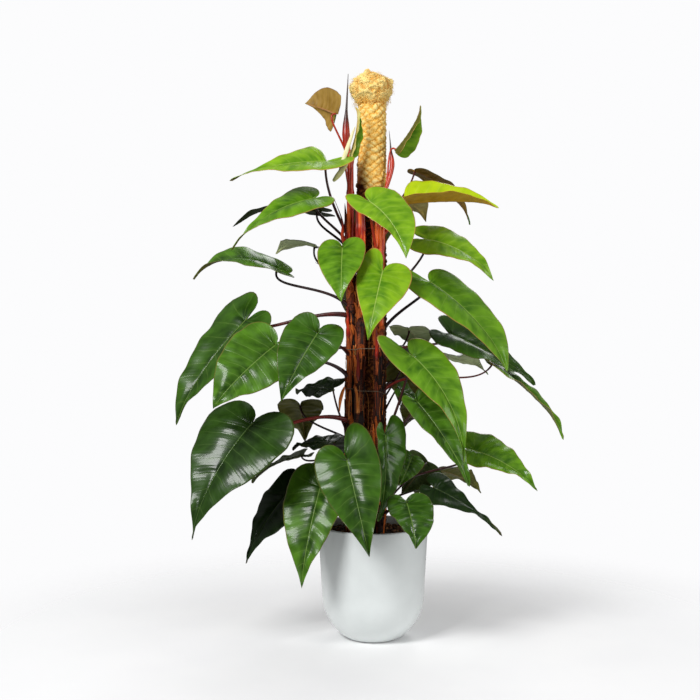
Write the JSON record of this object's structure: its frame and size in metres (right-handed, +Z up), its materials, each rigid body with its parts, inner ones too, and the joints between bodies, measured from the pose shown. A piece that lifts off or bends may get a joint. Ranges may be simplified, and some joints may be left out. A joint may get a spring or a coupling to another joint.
{
  "type": "potted red-stemmed climbing philodendron",
  "caption": "Climbing philodendron with red stalks and heart-shaped glossy leaves, trained up a plaited coir pole in a tall white pot with a rounded foot.",
  "frame": {"origin": "middle of the pot's flat foot, at floor level", "axes": "+Z up along the pole, -Y towards the viewer of the picture, +X to the viewer's right"},
  "size_m": [0.9516, 0.6106, 1.4132],
  "materials": {
    "pot_glaze": "white satin glaze",
    "soil": "damp potting mix with bark crumbs",
    "pole_wood": "plain",
    "coir": "plaited coconut fibre",
    "stem": "smooth red stalks on brown-red stems",
    "leaf_young": "glossy yellow-green",
    "leaf_grown": "glossy mid green",
    "leaf_old": "glossy dark green"
  },
  "bodies": {
    "root": {"pot": "pot_glaze", "soil": "soil", "pole_core": "pole_wood", "coir_sleeve": "coir", "coir_tuft": "coir", "stem_left": "stem", "stem_front": "stem", "stem_right": "stem", "stem_back": "stem", "leaf_01": "leaf_young", "leaf_02": "leaf_young", "leaf_03": "leaf_young", "leaf_04": "leaf_young", "leaf_05": "leaf_young", "leaf_06": "leaf_grown", "leaf_07": "leaf_young", "leaf_08": "leaf_young", "leaf_09": "leaf_young", "leaf_10": "leaf_young", "leaf_11": "leaf_young", "leaf_12": "leaf_young", "leaf_13": "leaf_young", "leaf_14": "leaf_young", "leaf_15": "leaf_grown", "leaf_16": "leaf_grown", "leaf_17": "leaf_grown", "leaf_18": "leaf_grown", "leaf_19": "leaf_grown", "leaf_20": "leaf_old", "leaf_21": "leaf_old", "leaf_22": "leaf_old", "leaf_23": "leaf_old", "leaf_24": "leaf_old", "leaf_25": "leaf_old", "leaf_26": "leaf_old", "leaf_27": "leaf_old", "leaf_28": "leaf_old", "leaf_29": "leaf_old", "leaf_30": "leaf_old", "leaf_31": "leaf_old", "leaf_32": "leaf_grown", "leaf_33": "leaf_grown", "leaf_34": "leaf_grown", "leaf_35": "leaf_grown", "leaf_36": "leaf_old", "leaf_37": "leaf_old", "leaf_38": "leaf_old", "leaf_39": "leaf_grown", "leaf_40": "leaf_grown", "leaf_41": "leaf_grown", "leaf_42": "leaf_grown", "leaf_43": "leaf_old", "leaf_44": "leaf_young", "leaf_45": "leaf_grown", "leaf_46": "leaf_grown", "leaf_47": "leaf_grown", "leaf_48": "leaf_old", "leaf_49": "leaf_old", "leaf_50": "leaf_old"}
  },
  "joints": []
}
